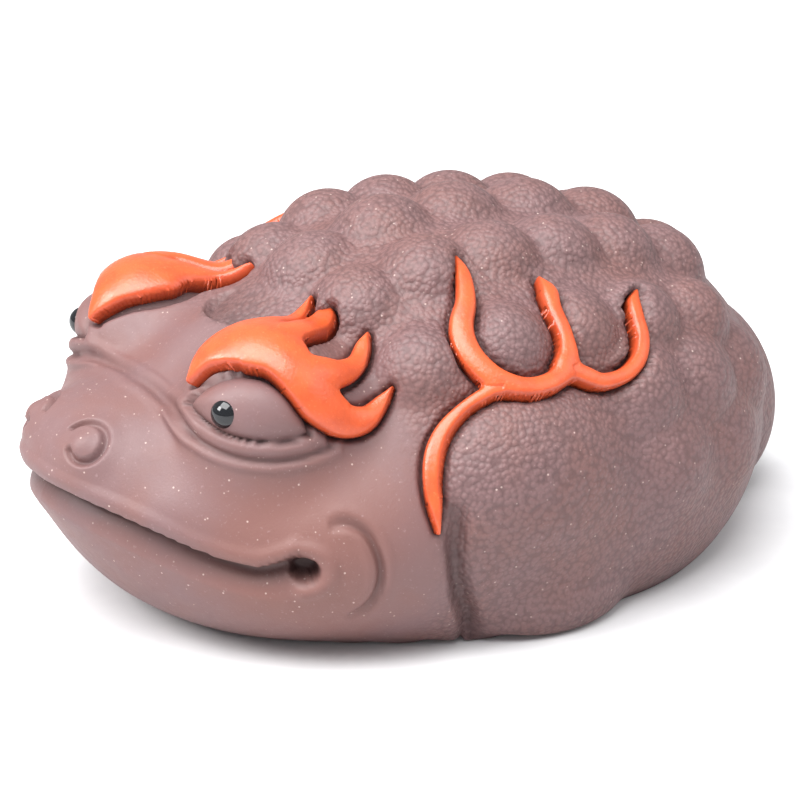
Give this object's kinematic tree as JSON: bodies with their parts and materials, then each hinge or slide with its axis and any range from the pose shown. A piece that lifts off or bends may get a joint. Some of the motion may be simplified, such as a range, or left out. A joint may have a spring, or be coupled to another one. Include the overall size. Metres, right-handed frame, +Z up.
{
  "type": "clay tea pet figurine",
  "caption": "Squat clay money toad tea pet with a warty back, wide closed mouth, inlaid flame brows and shoulder flames, and bead eyes; stands on its flat underside.",
  "frame": {"origin": "middle of the flat underside", "axes": "+Z up, the toad looks along -Y, its left side is +X"},
  "size_m": [0.0836, 0.1196, 0.0527],
  "materials": {
    "clay": "unglazed purple-brown clay, fine sandy grain, soft sheen from handling",
    "flame_clay": "orange-red clay, burnished, semi-gloss",
    "bead": "polished black bead"
  },
  "bodies": {
    "root": {"body": "clay", "brow_flame_left": "flame_clay", "brow_flame_right": "flame_clay", "shoulder_flame_left": "flame_clay", "shoulder_flame_right": "flame_clay", "eye_bead_left": "bead", "eye_bead_right": "bead"}
  },
  "joints": []
}
